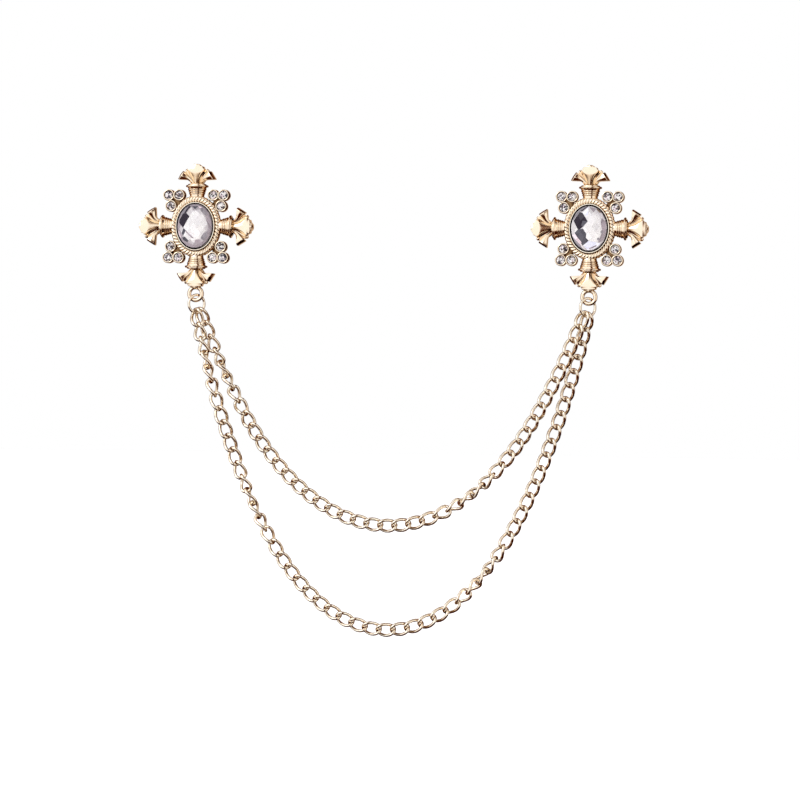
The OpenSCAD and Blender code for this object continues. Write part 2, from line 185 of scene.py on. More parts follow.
class LapelChainSizes(bpy.types.PropertyGroup):
    """Sizes of the chains and the jump rings."""

    pitch: length("Pitch", "Distance from one link to the next", mm(3.34))
    inner_slack: length("Inner slack", "How much closer together the links of the inner chain sit", mm(0.04))
    link_width: length("Link width", "Outer width of a link", mm(3.27))
    link_length: length("Link length", "Length of the middle line of a link", mm(4.1))
    wire: length("Wire", "Thickness of the link wire", mm(0.72))
    inner_links: count_of("Inner links", "Links in the inner chain", 43, 30, 60)
    outer_links: count_of("Outer links", "Links in the outer chain", 55, 40, 70)
    turn_links: count_of("Turn", "Links in which a chain turns half round", 7, 4, 12)
    ring_wire: length("Ring wire", "Thickness of the jump ring's wire", mm(0.6))
    ring_turn: bpy.props.FloatProperty(
        name="Ring turn",
        description="Turn of the jump ring out of the eye's plane",
        default=math.radians(44),
        unit="ROTATION",
        subtype="ANGLE",
    )
    hook_step: length("Hook step", "Distance between the two chains on a ring", mm(1.37))
    bow: length("Bow", "How far each chain bows to its own side near the rings", mm(1.2))
    seat_gap: length("Seat gap", "Gap between a ring and the link that hangs on it", mm(0.11))


class LapelPinSizes(bpy.types.PropertyGroup):
    """Sizes of the hidden pin."""

    stem: length("Stem length", "Length of the pin stem", mm(19))
    stem_wire: length("Stem", "Thickness of the pin stem", mm(0.8))
    back: length("Stand-off", "Distance of the stem's middle behind the back plate", mm(2.6))
    bar_width: length("Bar width", "Width of the bar that carries the pin", mm(2.4))
    bar_wall: length("Bar", "Thickness of the bar", mm(0.6))
    catch: length("Catch", "Length of the hinge block and of the catch along the stem", mm(1.8))


class LapelFinishes(bpy.types.PropertyGroup):
    """Colours of the metals, and the shade painted into their crevices and hollows."""

    cast: tint("Cast gold", "Champagne gold of the castings", (1, 0.84, 0.61))
    cast_rose: tint("Rose tone", "Rosier tone in the cast gold", (1, 0.76, 0.55))
    wire: tint("Chain gold", "Gold of the chains and rings", (1, 0.95, 0.79))
    # Painted shade: the dark colour painted into crevices, into the bezel's seat and into the web between the
    # cups.
    shade: tint("Crevice", "Tone of the metal deep in a crevice", (0.075, 0.026, 0.007))
    # Painted shade: the darker gold of the web between the cups, standing in for the shade in the hollows
    # there.
    web_shade: tint("Aged gold", "Dark gold in the hollows between the cups", (0.5, 0.3, 0.14))
    brass: tint("Pin metal", "Brass of the pin", (0.8, 0.62, 0.33))
    roughness: share("Roughness", "Mean roughness of the polished gold", 0.13)
    grain: share("Grain", "Strength of the fine casting grain", 0.12)


def settings(group):
    """One group of the part's settings."""
    return getattr(bpy.context.scene, f"lapel_{group}")


class Shape:
    """Points and faces of a piece while it is being made."""

    def __init__(self):
        self.points = []
        self.faces = []
        self.kinds = []

    def add(self, points, faces, kind=0):
        """Adds a skin. kind is the index of its finish, or a list with one for each face."""
        start = len(self.points)
        self.points.extend([tuple(p) for p in points])
        self.faces.extend([tuple(i + start for i in face) for face in faces])
        self.kinds.extend(kind if isinstance(kind, list) else [kind] * len(faces))

    def join(self, other, change=np.array):
        """Adds another shape, with its points changed."""
        self.add(change(np.array(other.points)), other.faces, other.kinds)


def grid_faces(rows, columns, close_rows=False, caps=True):
    """Quads between rows of points that each close into a ring, with a flat face on each open end."""
    faces = []
    for i in range(rows if close_rows else rows - 1):
        for j in range(columns):
            k = (j + 1) % columns
            n = (i + 1) % rows
            faces.append((i * columns + j, i * columns + k, n * columns + k, n * columns + j))
    if caps and not close_rows:
        faces.append(tuple(range(columns - 1, -1, -1)))
        faces.append(tuple((rows - 1) * columns + j for j in range(columns)))
    return faces


def unit(way):
    """A direction of length 1."""
    return way / np.linalg.norm(way)


def full_turn(count):
    """Equal steps round a full turn, in radians."""
    return [step * math.tau / count for step in range(count)]


def circle(middle, across, up, radius, count):
    """Points round a circle that lies along two ways."""
    return [middle + radius * (math.cos(f) * across + math.sin(f) * up) for f in full_turn(count)]


def turn_flat(points, angle):
    """Points of a flat drawing, turned about its middle."""
    c, s = math.cos(angle), math.sin(angle)
    out = np.array(points, float)
    out[:, 0] = c * points[:, 0] - s * points[:, 1]
    out[:, 1] = s * points[:, 0] + c * points[:, 1]
    return out


def stood(shape, side):
    """A flat drawing stood up at its place: side is 0 for the left brooch and 1 for the right one."""
    out = Shape()
    spacing = RIGHT_STONE.x - LEFT_STONE.x

    def stand(points):
        """Points in the frame's axes."""
        across = points[:, 0] + side * spacing + LEFT_STONE.x
        return np.stack([across, BACK_Y - points[:, 2], points[:, 1] + LEFT_STONE.z], 1)

    out.join(shape, stand)
    return out


def placed(name, data):
    """A new object in the scene."""
    thing = bpy.data.objects.new(name, data)
    bpy.context.scene.collection.objects.link(thing)
    return thing


def make_piece(name, shape, materials, nodes, sharp):
    """Turns a shape into a piece of the object. An edge that bends more than sharp degrees stays crisp."""
    mesh = bpy.data.meshes.new(name)
    mesh.from_pydata(shape.points, [], shape.faces)
    for material in materials:
        mesh.materials.append(material)
    mesh.polygons.foreach_set("material_index", shape.kinds)
    body = bmesh.new()
    body.from_mesh(mesh)
    bmesh.ops.recalc_face_normals(body, faces=body.faces)
    body.to_mesh(mesh)
    body.free()
    mesh.polygons.foreach_set("use_smooth", [sharp > 0] * len(mesh.polygons))
    if sharp > 0:
        mesh.set_sharp_from_angle(angle=math.radians(sharp))
    mesh.update()
    piece = placed(name, mesh)
    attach(piece, "root")
    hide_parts(*nodes)
    return piece


class Nodes:
    """A short way to build the nodes of a material or of the world."""

    def __init__(self, owner, output):
        owner.use_nodes = True
        self.owner = owner
        self.tree = owner.node_tree
        self.tree.nodes.clear()
        self.out = self.add(output)

    def put(self, socket, value):
        """Gives a socket a number, a colour, a vector or what another socket says."""
        if isinstance(value, bpy.types.NodeSocket):
            self.tree.links.new(value, socket)
        elif isinstance(value, (int, float)):
            socket.default_value = value
        else:
            socket.default_value = (*value, 1)[: len(socket.default_value)]

    def add(self, kind, **values):
        """A node, with its settings and with what goes into its sockets."""
        node = self.tree.nodes.new(kind)
        for key, value in values.items():
            if hasattr(node, key):
                setattr(node, key, value)
            else:
                self.put(node.inputs[key.replace("_", " ").title()], value)
        return node

    def place(self):
        """Places in the object's own space."""
        return self.add("ShaderNodeTexCoord").outputs["Object"]

    def noise(self, scale, detail=3.0):
        """A noise pattern in the object's own space."""
        pattern = self.add("ShaderNodeTexNoise", vector=self.place(), scale=scale, detail=detail)
        return pattern.outputs["Fac"]

    def ramp(self, source, stops):
        """A value turned into a colour by a ramp of (place, colour) stops."""
        ramp = self.add("ShaderNodeValToRGB", fac=source)
        elements = ramp.color_ramp.elements
        while len(elements) < len(stops):
            elements.new(0.5)
        for element, (place, colour) in zip(elements, stops):
            element.position = place
            element.color = (*colour, 1)
        return ramp.outputs["Color"]

    def mix(self, kind, factor, first, second):
        """A mix of two colours, each a socket or a colour."""
        node = self.add("ShaderNodeMix", data_type="RGBA", blend_type=kind)
        factor_input, first_input, second_input, colour_output = 0, 6, 7, 2
        for number, value in ((factor_input, factor), (first_input, first), (second_input, second)):
            self.put(node.inputs[number], value)
        return node.outputs[colour_output]

    def spread(self, source, low, high, start=0, end=1):
        """A value between start and end, spread over the range from low to high."""
        node = self.add(
            "ShaderNodeMapRange", value=source, from_min=start, from_max=end, to_min=low, to_max=high
        )
        return node.outputs["Result"]

    def relief(self, source, depth, strength):
        """Fine relief from a value."""
        node = self.add("ShaderNodeBump", strength=strength, distance=depth)
        self.put(node.inputs["Height"], source)
        return node.outputs["Normal"]


class Surface(Nodes):
    """The nodes of a material with one shader."""

    def __init__(self, name):
        super().__init__(bpy.data.materials.new(name), "ShaderNodeOutputMaterial")
        self.shader = self.add("ShaderNodeBsdfPrincipled")
        self.put(self.out.inputs["Surface"], self.shader.outputs[0])

    def painted(self, values):
        """The material, once the shader has these values."""
        for name, value in values.items():
            self.put(self.shader.inputs[name], value)
        return self.owner


# Scales of the metals' noise: the drift of tone, the smears of wear and the grain of the casting
DRIFT, SMEARS, GRAIN = 260, 900, 5200
# Painted shade: crevices where ambient occlusion darkens the gold's colour. Columns: reach,
# openness where it is darkest, openness where it is clear, share of the darkening.
PAINTED_CREVICE_SHADE = ((mm(0.4), 0.15, 0.6, 1), (mm(1.6), 0.05, 0.34, 0.6))


def gold_finish(name, tone, second_tone, crevice, grain, roughness):
    """Polished plated gold: a drift of tone, a fine casting grain, and painted shade that darkens its colour
    deep in crevices.
    """
    made = Surface(name)
    drift = made.spread(made.noise(DRIFT), 0, 0.9)
    body = made.mix("MIX", drift, tone, second_tone)
    # Painted shade: ambient occlusion mixes the colour towards the shade colour in crevices.
    for reach, darkest, clearest, share_of in PAINTED_CREVICE_SHADE:
        hollow = made.add("ShaderNodeAmbientOcclusion", samples=8, distance=reach)
        depth = made.spread(hollow.outputs["AO"], crevice * share_of, 0, darkest, clearest)
        body = made.mix("MIX", depth, body, settings("finishes").shade)
    rough = made.spread(made.noise(SMEARS), roughness * 0.6, roughness * 1.5)
    relief = made.relief(made.noise(GRAIN, 2.0), mm(0.03), grain)
    return made.painted({"Metallic": 1, "Base Color": body, "Roughness": rough, "Normal": relief})


def gold(name):
    """One of the golds, made once."""
    f = settings("finishes")
    looks = {
        "champagne_gold": (f.cast, f.cast_rose, 0.88, f.grain, f.roughness),
        "wire_gold": (f.wire, f.cast_rose, 0.6, f.grain * 0.4, f.roughness * 0.5),
        "web_shade_gold": (f.web_shade, f.shade, 0.6, f.grain, f.roughness * 2),
    }
    return bpy.data.materials.get(name) or gold_finish(name, *looks[name])


def brass_finish():
    """Drawn brass: fine lines along the pin and a slight tarnish."""
    made = Surface("drawn_brass")
    long_and_thin = (60, 4000, 4000)
    stretched = made.add("ShaderNodeMapping", vector=made.place(), scale=long_and_thin).outputs["Vector"]
    lines = made.add("ShaderNodeTexNoise", vector=stretched, scale=1.0, detail=2.0).outputs["Fac"]
    brass = settings("finishes").brass
    dull = [0.55 * part for part in brass]
    tarnish = made.spread(made.noise(320), 0, 0.8)
    body = made.mix("MIX", tarnish, brass, dull)
    rough = made.spread(lines, 0.2, 0.42)
    relief = made.relief(lines, mm(0.02), 0.25)
    return made.painted({"Metallic": 1, "Base Color": body, "Roughness": rough, "Normal": relief})


def seat_shadow_finish():
    """Painted shadow: dark metal colour in the seat between the stone and the bezel, where the lip's shade
    falls.
    """
    made = Surface("painted_seat_shadow")
    shadow_mottle, deepest_shadow_tone = made.noise(700), (0.02, 0.01, 0.006)
    body = made.mix("MIX", shadow_mottle, settings("finishes").shade, deepest_shadow_tone)
    rough = made.spread(made.noise(SMEARS), 0.3, 0.55)
    return made.painted({"Metallic": 0.7, "Base Color": body, "Roughness": rough})


def facet_finish(name, depth):
    """Foil-backed cut glass with painted reflections: each facet's colour is the reflection painted onto it,
    with the lower facets painted faint behind it.
    """
    made = Surface(name)
    tone = made.add("ShaderNodeAttribute", attribute_name="facet_tone").outputs["Color"]
    cells = made.add(
        "ShaderNodeTexVoronoi", vector=made.place(), feature="F1", distance="CHEBYCHEV", scale=1150.0
    )
    white = (1, 1, 1)
    # Painted reflection of the lower facets, faint behind each facet.
    behind = made.ramp(
        cells.outputs["Distance"], ((0, white), (0.45, (0.96, 0.95, 0.98)), (1, (0.74, 0.72, 0.8)))
    )
    haze = made.ramp(made.noise(420), ((0.3, white), (0.7, (0.9, 0.88, 0.94))))
    return made.painted(
        {
            "Base Color": made.mix("MULTIPLY", depth, made.mix("MULTIPLY", depth, tone, behind), haze),
            "Roughness": made.spread(made.noise(600), 0.02, 0.07),
            "IOR": 1.54,
            "Specular IOR Level": 0.1,
            "Coat Weight": 0.05,
            "Coat Roughness": 0.02,
        }
    )


# Leaf sections from the collar to the tip. Columns: place along the palmette, place across it and
# half width as shares of its length and half width, lean in degrees, crest and edge heights as shares.
LOBE = (
    (-0.1, 0, 0.07, 0, 0.72, 0.68),
    (0.02, 0, 0.08, 0, 0.78, 0.74),
    (0.35, 0, 0.16, 0, 0.91, 0.87),
    (0.56, 0, 0.29, 0, 0.985, 0.945),
    (0.64, 0, 0.38, 0, 0.99, 0.95),
    (0.69, 0, 0.43, 0, 0.981, 0.94),
    (0.735, 0, 0.46, 0, 0.971, 0.93),
    (0.77, 0, 0.4, 0, 0.963, 0.92),
    (0.8, 0, 0.38, 0, 0.956, 0.91),
    (0.87, 0, 0.35, 0, 0.94, 0.89),
    (0.895, 0, 0.24, 0, 0.934, 0.88),
    (0.93, 0, 0.21, 0, 0.925, 0.87),
    (0.975, 0, 0.13, 0, 0.912, 0.85),
)
SIDE_LEAF = (
    (-0.06, 0.17, 0.07, 4, 0.56, 0.52),
    (0.06, 0.24, 0.075, 18, 0.66, 0.6),
    (0.24, 0.41, 0.08, 45, 0.8, 0.74),
    (0.32, 0.6, 0.145, 53, 0.92, 0.84),
    (0.385, 0.76, 0.21, 57, 0.98, 0.9),
    (0.41, 0.81, 0.235, 58, 0.96, 0.88),
    (0.425, 0.84, 0.25, 58, 0.82, 0.7),
    (0.44, 0.87, 0.255, 58, 0.72, 0.6),
)
LOW_LEAF = (
    (-0.04, 0.12, 0.07, 8, 0.9, 0.8),
    (0.1, 0.19, 0.09, 12, 0.96, 0.84),
    (0.3, 0.31, 0.13, 20, 1, 0.86),
    (0.5, 0.45, 0.15, 28, 1, 0.86),
    (0.64, 0.53, 0.12, 32, 0.96, 0.82),
    (0.72, 0.57, 0.06, 34, 0.9, 0.78),
)
# Half outline of the plate under the palmette, with the first and third of those columns
UNDER_PLATE = ((-0.2, 0.3), (0.02, 0.34), (0.26, 0.5), (0.4, 0.5), (0.62, 0.44), (0.74, 0.3))
# Half a leaf's section from its foot to its crest. Columns: place across, shares of the edge and the crest.
HALF_LEAF = (
    (-1, 0, 0),
    (-1, 0.5, 0),
    (-0.985, 0.92, 0),
    (-0.94, 0.99, 0),
    (-0.86, 1, 0),
    (-0.6, 1, 0.25),
    (-0.3, 1, 0.62),
    (-0.06, 1, 0.97),
)
LEAF_PROFILE = HALF_LEAF + tuple((-across, rise, crown) for across, rise, crown in reversed(HALF_LEAF))


def smooth_rows(table, steps):
    """Rows of a table joined by a smooth curve, with so many steps from one to the next."""
    rows = np.array(table, float)
    ends = np.vstack([2 * rows[0] - rows[1], rows, 2 * rows[-1] - rows[-2]])
    out = []
    for i in range(1, len(ends) - 2):
        a, b, c, d = ends[i - 1 : i + 3]
        for k in range(steps):
            t = k / steps
            bend, twist = 2 * a - 5 * b + 4 * c - d, 3 * b - a - 3 * c + d
            out.append(0.5 * (2 * b + (c - a) * t + bend * t * t + twist * t**3))
    out.append(rows[-1])
    return out


def leaf(shape, table, reach, top, hand=1):
    """One lofted leaf with a crest, a soft rim and steep walls. hand is -1 for its mirror image."""
    s = settings("casting")
    foot, steps = mm(0.2), 4
    half_palm = s.palm_width / 2
    rows = smooth_rows(table, steps)
    # Each section with its share of the width and its step ahead. The last two round the tip.
    drawn = [(row, 1.0, 0.0) for row in rows]
    drawn += [(rows[-1], 0.97, mm(0.04)), (rows[-1], 0.86, mm(0.08))]
    points = []
    for (along, across, half_width, lean, crest, edge), narrow, forward in drawn:
        lean = math.radians(lean)
        way = np.array([math.cos(lean), -math.sin(lean)])
        ahead = np.array([math.sin(lean), math.cos(lean)])
        middle = np.array([across * half_palm, s.collar + along * reach]) + forward * ahead
        wall = (edge * top - foot) * narrow
        crown = (crest - edge) * top * narrow
        for place, wall_share, crown_share in LEAF_PROFILE:
            spot = middle + place * half_width * half_palm * narrow * way
            points.append((hand * spot[0], spot[1], foot + wall * wall_share + crown * crown_share))
    shape.add(points, grid_faces(len(drawn), len(LEAF_PROFILE)))


def slab(shape, outline, bottom, top, bevel, kind=0):
    """A plate with a flat outline and softened edges."""
    outline = np.array(outline, float)
    ahead = np.roll(outline, -1, 0)
    along = ahead - np.roll(outline, 1, 0)
    along /= np.linalg.norm(along, axis=1)[:, None]
    area = sum(p[0] * q[1] - q[0] * p[1] for p, q in zip(outline, ahead))
    inward = np.stack([-along[:, 1], along[:, 0]], 1) * (1 if area > 0 else -1)
    rings = (
        (outline + inward * bevel, bottom),
        (outline, bottom + bevel),
        (outline, top - bevel),
        (outline + inward * bevel * 0.4, top - bevel * 0.3),
        (outline + inward * bevel, top),
    )
    points = [(p[0], p[1], h) for ring, h in rings for p in ring]
    shape.add(points, grid_faces(len(rings), len(outline)), kind)


def oval_points(half_x, half_y, count):
    """Points round an oval."""
    turns = full_turn(count)
    return np.stack([half_x * np.cos(turns), half_y * np.sin(turns)], 1)


def collar_profile():
    """Radius and place along the arm of the bell collar's skin, from the neck over the rim into the mouth."""
    s = settings("casting")
    neck, mouth, bead = s.neck_width / 2, s.mouth_width / 2, s.rim / 2
    rim_mid = s.rim_width / 2 - bead
    rim_at = s.collar * 0.82
    bell_start = s.collar * 0.12
    bell_end = rim_at - bead * 0.8
    profile = [(neck * 0.94, -mm(0.3)), (neck * 0.97, -mm(0.1)), (neck, mm(0.2))]
    steps = 36
    bands, band_end, band_rise = 3, 0.75, mm(0.17)
    for i in range(steps + 1):
        f = i / steps
        flare = (rim_mid - bead * 0.5 - neck) * f**1.5
        wave = band_rise * abs(math.sin(math.pi * bands * f / band_end)) ** 0.6 if f < band_end else 0
        profile.append((neck + flare + wave, bell_start + (bell_end - bell_start) * f))
    bead_start, bead_turn, bead_steps = -80, 190, 10
    for i in range(bead_steps + 1):
        f = math.radians(bead_start + bead_turn * i / bead_steps)
        profile.append((rim_mid + bead * math.cos(f), rim_at + bead * math.sin(f)))
    lip = mm(0.1)
    profile += [
        (mouth, rim_at + bead * 0.9),
        (mouth, s.collar - lip),
        (mouth - lip * 0.4, s.collar - lip * 0.3),
        (mouth - lip, s.collar),
        (mouth - bead, s.collar - lip * 0.5),
        (mouth - bead * 1.2, s.collar - lip * 2),
        (neck * 0.7, s.collar * 0.86),
        (neck * 0.4, s.collar * 0.85),
    ]
    return profile


def collar(shape):
    """Bell collar, turned round the arm's axis and cut flat at the back."""
    s = settings("casting")
    count, foot = 44, mm(0.02)
    points = []
    profile = collar_profile()
    for radius, place in profile:
        start = -math.asin(min(1, (s.collar_axis - foot) / radius))
        for j in range(count):
            turn = start + (math.pi - 2 * start) * j / (count - 1)
            points.append((radius * math.cos(turn), place, s.collar_axis + radius * math.sin(turn)))
    shape.add(points, grid_faces(len(profile), count))


def arm_shape(reach):
    """One arm with its collar, palmette and under plate, pointing up from y 0."""
    s = settings("casting")
    shape = Shape()
    collar(shape)
    palm = reach - s.collar
    top = s.leaf_height * 0.94
    half = [(row[1] * s.palm_width / 2, s.collar + row[0] * palm) for row in UNDER_PLATE]
    slab(shape, half + [(-x, y) for x, y in reversed(half)], 0, s.plate, mm(0.12))
    leaf(shape, LOBE, palm, top)
    for hand in (-1, 1):
        leaf(shape, SIDE_LEAF, palm, top, hand)
        leaf(shape, LOW_LEAF, palm, s.low_leaf_height, hand)
    return shape


def cup_places():
    """Middles of the three cups in the upper right corner."""
    s = settings("casting")
    x, y = s.oval_width / 2 + s.corner_out, s.oval_height / 2 + s.corner_rise
    return (x, y), (x - s.step_in, y), (x - s.step_shift, y - s.step_down)


def revolve(shape, profile, middle):
    """A skin turned round an upright axis. The profile holds radius and height."""
    count = 40
    points = []
    for radius, height in profile:
        points += circle(np.array([*middle, height]), X_WAY, Y_WAY, radius, count)
    shape.add(points, grid_faces(len(profile), count))


def cup_corner():
    """Three cups with the web between them, in the upper right corner."""
    s = settings("casting")
    stones = settings("stones")
    shape = Shape()
    cups = cup_places()
    inner = stones.gem / 2 + stones.gap
    outer = inner + s.cup_wall
    web = [cups[1], cups[0], cups[2], (s.oval_width * 0.3, s.oval_height * 0.3)]
    # The web between the cups takes finish 1, the darker gold painted as shade in the hollows there.
    slab(shape, web, mm(0.04), s.plate * 0.7, mm(0.08), 1)
    foot, lip, soft, round_off = mm(0.1), s.cup_height, mm(0.04), mm(0.05)
    shoulder = lip - mm(0.16)
    profile = (
        (outer - foot, 0),
        (outer, foot),
        (outer, shoulder),
        (outer - soft, lip - round_off),
        (outer - s.cup_wall * 0.4, lip),
        (outer - s.cup_wall * 0.6, lip),
        (inner + soft, lip - round_off),
        (inner, shoulder),
        (inner, s.plate),
    )
    for middle in cups:
        revolve(shape, profile, middle)
    return shape


def rope_shape():
    """Rope border round the stone: strands that wind round a core between the bezel and the oval."""
    s = settings("casting")
    stones = settings("stones")
    shape = Shape()
    grow = stones.gap + s.bezel_wall * 0.7
    inner = np.array([stones.width / 2 + grow, stones.height / 2 + grow])
    overhang = mm(0.15)
    outer = np.array([s.oval_width / 2, s.oval_height / 2]) + overhang
    mid_x, mid_y = (inner + outer) / 2
    half_x, half_y = (outer - inner) / 2
    rings_in_strand, sides = 14, 30
    around = s.rope_strands * rings_in_strand
    # Slant of the strands, depth of the grooves, and powers that shape a strand's back and the rope's section
    slant, groove, strand_power, section_power = 4, 0.19, 0.7, 0.8
    base = s.plate * 0.5
    tall = (s.rope_height - base) / 2
    points = []

    def full(value):
        """A sine or cosine, swollen so that the rope's section is a little square."""
        return math.copysign(abs(value) ** section_power, value)

    for t in full_turn(around):
        tangent = np.array([-mid_x * math.sin(t), mid_y * math.cos(t)])
        outward = unit(np.array([tangent[1], -tangent[0]]))
        middle = np.array([mid_x * math.cos(t), mid_y * math.sin(t)])
        half = math.hypot(half_x * math.cos(t), half_y * math.sin(t))
        for f in full_turn(sides):
            strand = abs(math.sin((s.rope_strands * t + slant * math.cos(f)) / 2)) ** strand_power
            swell = 1 - groove + groove * strand
            spot = middle + outward * half * swell * full(math.cos(f))
            points.append((spot[0], spot[1], base + tall * (1 + swell * full(math.sin(f)))))
    shape.add(points, grid_faces(around, sides, close_rows=True))
    return shape


def bezel_shape():
    """Thin wall round the oval stone, with a turned-in lip and a painted shadow in the seat behind it."""
    s = settings("casting")
    stones = settings("stones")
    shape = Shape()
    inner = (stones.width / 2 + stones.gap, stones.height / 2 + stones.gap)
    count = 120
    lip, wall = s.bezel_height, s.bezel_wall
    foot, shoulder, soft = s.plate * 0.5, lip - mm(0.2), lip - mm(0.06)
    metal = (
        (wall * 1.12, foot),
        (wall * 1.12, shoulder),
        (wall * 1.08, soft),
        (wall * 0.98, lip),
        (wall * 0.62, lip),
        (wall * 0.52, soft),
    )
    # The seat: a dark sheet inside the lip, painted shadow where the lip shades the stone's edge.
    seat = ((wall * 0.52, soft), (wall * 0.4, shoulder), (0, lip - mm(0.4)), (0, foot))
    for rows, kind in ((metal, 0), (seat, 1)):
        points = []
        for grow, height in rows:
            points += [(x, y, height) for x, y in oval_points(inner[0] + grow, inner[1] + grow, count)]
        shape.add(points, grid_faces(len(rows), count, caps=False), kind)
    return shape


def wire_loop(shape, bend, flow, outward, rings, sides, radius, seam=None):
    """A round wire along a closed curve. seam is where the wire's two ends meet, as a share of the curve."""
    points = []
    seam_reach, seam_waist = 0.6, 0.9
    for t in full_turn(rings):
        way, out = flow(t), outward(t)
        out = unit(out - way * (out @ way))
        wire = radius
        if seam is not None and abs(t / math.tau - seam) < seam_reach / rings:
            wire = radius * seam_waist
        points += circle(bend(t), out, np.cross(way, out), wire, sides)
    shape.add(points, grid_faces(rings, sides, close_rows=True))


def round_loop(shape, middle, radius, across, up, rings, sides, wire, seam=None):
    """A round wire ring that lies along two ways."""

    def outward(t):
        """Way from the middle to the wire."""
        return math.cos(t) * across + math.sin(t) * up

    wire_loop(
        shape,
        lambda t: middle + radius * outward(t),
        lambda t: math.cos(t) * up - math.sin(t) * across,
        outward,
        rings,
        sides,
        wire,
        seam,
    )


def eye_shape():
    """Round eye under the lower arm."""
    s = settings("casting")
    shape = Shape()
    middle = np.array([0, EYE_LOW - LEFT_STONE.z + s.eye_radius + s.eye_bar / 2, s.eye_height])
    round_loop(shape, middle, s.eye_radius, X_WAY, Y_WAY, rings=64, sides=20, wire=s.eye_bar / 2)
    return shape


class LAPEL_OT_castings(bpy.types.Operator):
    """Builds the cast crosses: plate, arms, cups and eye"""

    bl_idname = "lapel.castings"
    bl_label = "Cast crosses"

    def execute(self, context):
        s = settings("casting")
        drawn = Shape()
        inset = mm(0.1)
        plate = oval_points(s.oval_width / 2 - inset, s.oval_height / 2 - inset, 96)
        slab(drawn, plate, 0, s.plate, mm(0.12))
        for quarter in range(4):
            upright = quarter % 2 == 0
            out = (s.oval_height if upright else s.oval_width) / 2
            arm = arm_shape(s.reach_up if upright else s.reach_side)

            def place(points, out=out, quarter=quarter):
                """The arm's points at their side of the oval."""
                return turn_flat(points + out * Y_WAY, -quarter * math.pi / 2)

            drawn.join(arm, place)
        for corner in CORNERS:
            drawn.join(cup_corner(), lambda points, corner=corner: points * np.array([*corner, 1]))
        drawn.join(eye_shape())
        metals = [gold("champagne_gold"), gold("web_shade_gold")]
        for side, name in enumerate(SIDES):
            node = [f"{name}_cross"]
            make_piece(f"{name}_cross_casting", stood(drawn, side), metals, node, sharp=38)
        return {"FINISHED"}


class LAPEL_OT_borders(bpy.types.Operator):
    """Builds the rope border and the bezel round each oval stone"""

    bl_idname = "lapel.borders"
    bl_label = "Rope borders and bezels"

    def execute(self, context):
        rope, rope_metals = rope_shape(), [gold("champagne_gold")]
        bezel, bezel_metals = bezel_shape(), [gold("wire_gold"), seat_shadow_finish()]
        for side, name in enumerate(SIDES):
            node = [f"{name}_cross"]
            make_piece(f"{name}_rope_border", stood(rope, side), rope_metals, node, sharp=50)
            make_piece(f"{name}_bezel", stood(bezel, side), bezel_metals, node, sharp=40)
        return {"FINISHED"}


# Painted reflections on each oval stone: patches of what it mirrors, painted into the facets' colours. shift
# is how far its facets sit above its middle, in millimetres, and rim how much its edge turns lilac. Columns
# of the patches: tone, outline in millimetres from the middle.
LEFT_LOOK = {
    "shift": -0.5,
    "rim": 1,
    "patches": (
        ("pewter", ((-3.6, 2.2), (-2.9, 3.3), (-1.5, 4.8), (-1.0, 4.5), (-2.1, 3.4), (-3.0, 2.5))),
        ("night", ((-2.5, 3.0), (-1.9, 3.0), (-1.5, 3.9), (-0.9, 4.4), (-1.4, 4.7), (-2.1, 3.7))),
        ("night", ((-1.9, 3.0), (-1.0, 2.2), (-2.5, -0.5), (-3.6, 0.7), (-3.6, 1.4), (-2.7, 2.9))),
        ("smoke", ((-0.7, 4.6), (0.8, 4.6), (0.1, 3.9))),
        ("blush", ((0.8, 4.6), (1.8, 4.4), (1.2, 4.1))),
        ("pewter", ((1.4, 4.0), (1.8, 4.2), (2.6, 3.5), (3.1, 2.6), (2.4, 2.6), (1.8, 3.2))),
        ("lilac", ((2.6, 2.6), (3.6, 2.2), (4.1, 0.5), (3.9, -1.1), (3.2, 0.4))),
        ("pewter", ((3.2, -1.1), (3.1, -2.3), (2.7, -3.0), (2.3, -3.4), (1.6, -2.8), (2.3, -1.7))),
        ("lilac", ((0.4, -3.2), (1.4, -3.1), (1.9, -3.7), (1.2, -4.1), (0.2, -3.9))),
        ("smoke", ((-2.4, -0.5), (-1.8, -1.1), (-2.5, -2.3), (-2.9, -1.7))),
        ("smoke", ((-2.8, -2.7), (-2.1, -2.5), (-1.2, -3.4), (-1.5, -3.8), (-2.5, -3.3))),
        ("lilac", ((-1.9, -0.9), (-0.9, -1.9), (0.1, -2.8), (-0.2, -2.9), (-1.0, -2.3), (-1.8, -1.5))),
        ("lilac", ((-2.8, -3.3), (-2.0, -3.7), (-1.4, -4.5), (-1.9, -4.7), (-2.9, -3.8))),
        ("blush", ((-3.7, -1.1), (-3.0, -2.7), (-3.4, -2.8), (-3.9, -1.5))),
    ),
}
